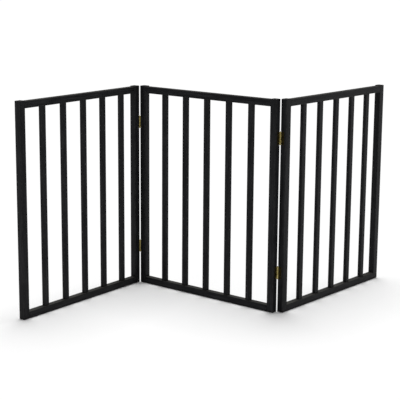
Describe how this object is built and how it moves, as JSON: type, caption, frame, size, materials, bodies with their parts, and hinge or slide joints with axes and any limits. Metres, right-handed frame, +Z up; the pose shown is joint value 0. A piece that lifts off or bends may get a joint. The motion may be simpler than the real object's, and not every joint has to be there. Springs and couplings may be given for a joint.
{
  "type": "pet gate",
  "caption": "Free-standing folding pet gate: hinged black wooden panels with upright slats, standing in a zigzag, that fold flat against one another",
  "frame": {"origin": "on the floor, under the middle of the whole gate's bounding box in its rest pose", "axes": "+X along the gate from its left end to its right end seen from the front, -Y towards the front, +Z up"},
  "size_m": [1.0596, 0.4908, 0.61],
  "materials": {
    "stile_black_paint": "satin black paint on wood",
    "rail_black_paint": "satin black paint on wood",
    "slat_black_paint": "satin black paint on wood",
    "leaf_brass": "dull brass plate, slightly tarnished",
    "pin_brass": "dull brass plate",
    "screw_brass": "dull brass plate"
  },
  "bodies": {
    "middle_panel": {"left_lower_hinge_fixed_leaf": "leaf_brass", "left_lower_hinge_fixed_screw_bottom": "screw_brass", "left_lower_hinge_fixed_screw_top": "screw_brass", "left_lower_hinge_pin": "pin_brass", "left_upper_hinge_fixed_leaf": "leaf_brass", "left_upper_hinge_fixed_screw_bottom": "screw_brass", "left_upper_hinge_fixed_screw_top": "screw_brass", "left_upper_hinge_pin": "pin_brass", "middle_panel_bottom_rail": "rail_black_paint", "middle_panel_left_stile": "stile_black_paint", "middle_panel_right_stile": "stile_black_paint", "middle_panel_slat_1": "slat_black_paint", "middle_panel_slat_2": "slat_black_paint", "middle_panel_slat_3": "slat_black_paint", "middle_panel_slat_4": "slat_black_paint", "middle_panel_slat_5": "slat_black_paint", "middle_panel_top_rail": "rail_black_paint", "right_lower_hinge_fixed_leaf": "leaf_brass", "right_lower_hinge_fixed_screw_bottom": "screw_brass", "right_lower_hinge_fixed_screw_top": "screw_brass", "right_lower_hinge_pin": "pin_brass", "right_upper_hinge_fixed_leaf": "leaf_brass", "right_upper_hinge_fixed_screw_bottom": "screw_brass", "right_upper_hinge_fixed_screw_top": "screw_brass", "right_upper_hinge_pin": "pin_brass"},
    "left_panel": {"left_lower_hinge_swing_leaf": "leaf_brass", "left_lower_hinge_swing_screw_bottom": "screw_brass", "left_lower_hinge_swing_screw_top": "screw_brass", "left_panel_bottom_rail": "rail_black_paint", "left_panel_left_stile": "stile_black_paint", "left_panel_right_stile": "stile_black_paint", "left_panel_slat_1": "slat_black_paint", "left_panel_slat_2": "slat_black_paint", "left_panel_slat_3": "slat_black_paint", "left_panel_slat_4": "slat_black_paint", "left_panel_slat_5": "slat_black_paint", "left_panel_top_rail": "rail_black_paint", "left_upper_hinge_swing_leaf": "leaf_brass", "left_upper_hinge_swing_screw_bottom": "screw_brass", "left_upper_hinge_swing_screw_top": "screw_brass"},
    "right_panel": {"right_lower_hinge_swing_leaf": "leaf_brass", "right_lower_hinge_swing_screw_bottom": "screw_brass", "right_lower_hinge_swing_screw_top": "screw_brass", "right_panel_bottom_rail": "rail_black_paint", "right_panel_left_stile": "stile_black_paint", "right_panel_right_stile": "stile_black_paint", "right_panel_slat_1": "slat_black_paint", "right_panel_slat_2": "slat_black_paint", "right_panel_slat_3": "slat_black_paint", "right_panel_slat_4": "slat_black_paint", "right_panel_slat_5": "slat_black_paint", "right_panel_top_rail": "rail_black_paint", "right_upper_hinge_swing_leaf": "leaf_brass", "right_upper_hinge_swing_screw_bottom": "screw_brass", "right_upper_hinge_swing_screw_top": "screw_brass"}
  },
  "joints": [
    {"name": "left_fold", "type": "hinge", "parent": "middle_panel", "child": "left_panel", "pos_m": [-0.21408, 0.16456, 0.305], "axis": [0, 0, 1], "range_deg": [-93.5, 86.5]},
    {"name": "right_fold", "type": "hinge", "parent": "middle_panel", "child": "right_panel", "pos_m": [0.19096, -0.14598, 0.305], "axis": [0, 0, 1], "range_deg": [-90.1, 89.9]}
  ]
}
